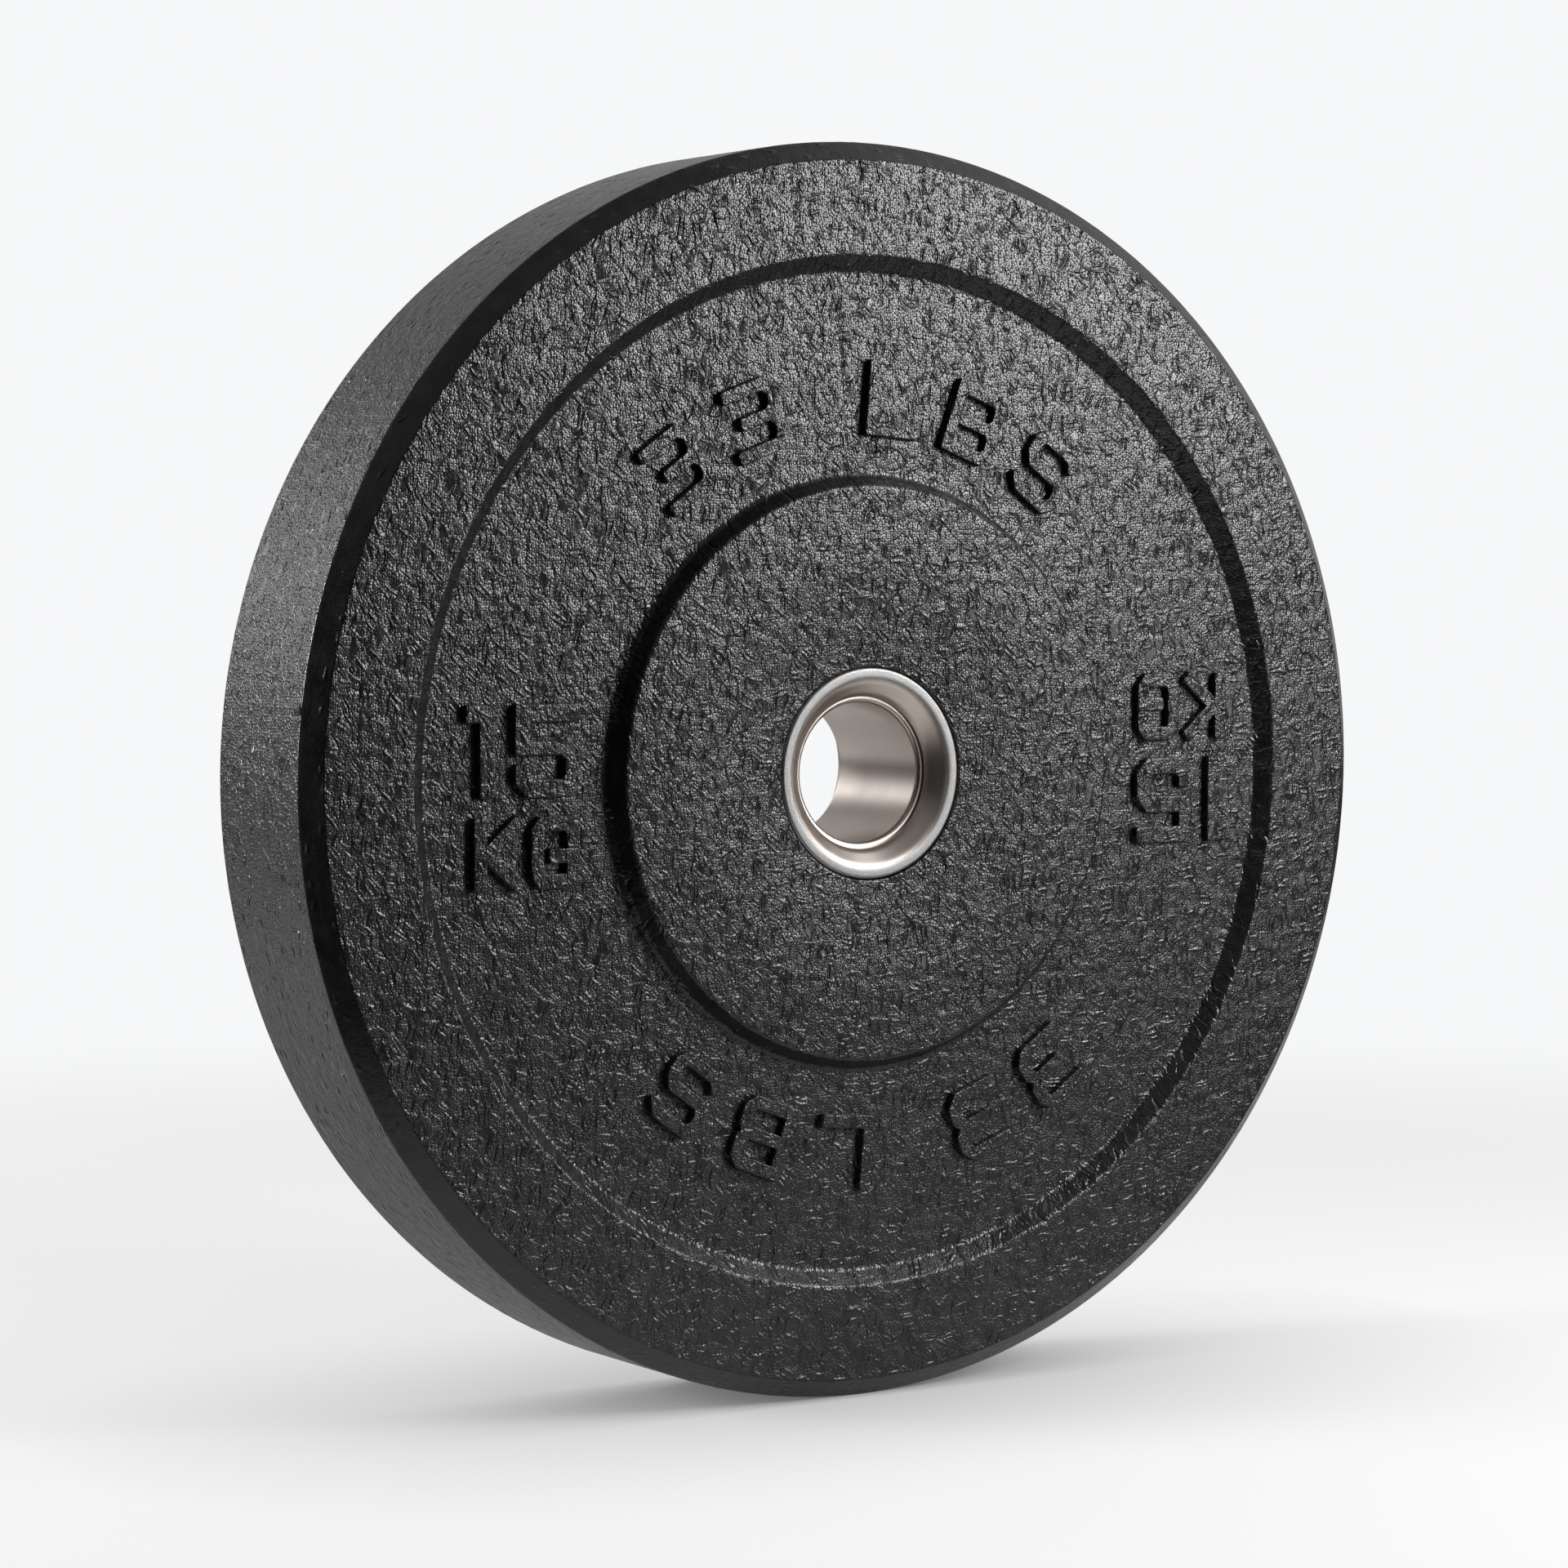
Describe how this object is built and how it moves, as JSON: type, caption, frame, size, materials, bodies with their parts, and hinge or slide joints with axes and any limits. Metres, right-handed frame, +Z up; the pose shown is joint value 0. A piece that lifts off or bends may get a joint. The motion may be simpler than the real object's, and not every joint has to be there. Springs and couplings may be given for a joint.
{
  "type": "bumper plate",
  "caption": "Round crumb rubber barbell plate with chamfered tread, recessed web, raised boss and flared steel bore insert.",
  "frame": {"origin": "centre of the plate, on the bore's axis, halfway between the two boss faces", "axes": "+Y along the bore from the front face, which looks towards -Y, to the rear face; +Z up with the plate standing on its tread"},
  "size_m": [0.45, 0.076, 0.45],
  "materials": {
    "crumb_rubber": "moulded crumb, semi-matt black",
    "brushed_steel": "brushed round the bore",
    "turned_steel": "satin turned, blasted rim",
    "mill_steel": "as rolled"
  },
  "bodies": {
    "root": {"rubber_disc": "crumb_rubber", "bore_sleeve": "brushed_steel", "front_mouth_ring": "turned_steel", "rear_mouth_ring": "turned_steel", "anchor_flange": "mill_steel"}
  },
  "joints": []
}
